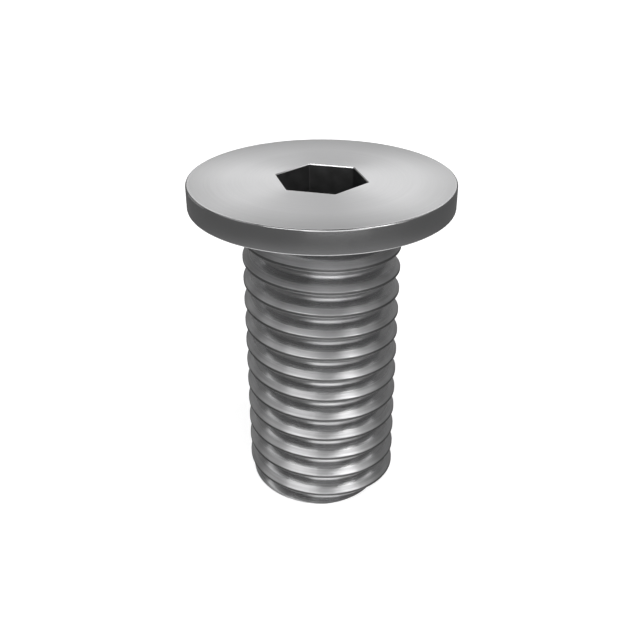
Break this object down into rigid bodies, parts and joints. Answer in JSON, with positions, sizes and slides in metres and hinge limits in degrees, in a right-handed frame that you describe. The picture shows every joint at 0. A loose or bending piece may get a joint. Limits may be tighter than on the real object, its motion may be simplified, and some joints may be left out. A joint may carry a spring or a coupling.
{
  "type": "low-profile socket head cap screw",
  "caption": "Metric cap screw with a thin, wide, flat disc head, a hexagonal socket and a short shank threaded right up to a neck under the head.",
  "frame": {"origin": "centre of the bearing face under the head", "axes": "+Z along the screw's axis, from the point towards the head; the screw stands on its point; one corner of the hexagonal socket is 14.5 degrees clockwise of +X, seen from above"},
  "size_m": [0.0164, 0.0164, 0.0215],
  "materials": {
    "steel": "satin turned steel"
  },
  "bodies": {
    "root": {"cap_screw": "steel"}
  },
  "joints": []
}
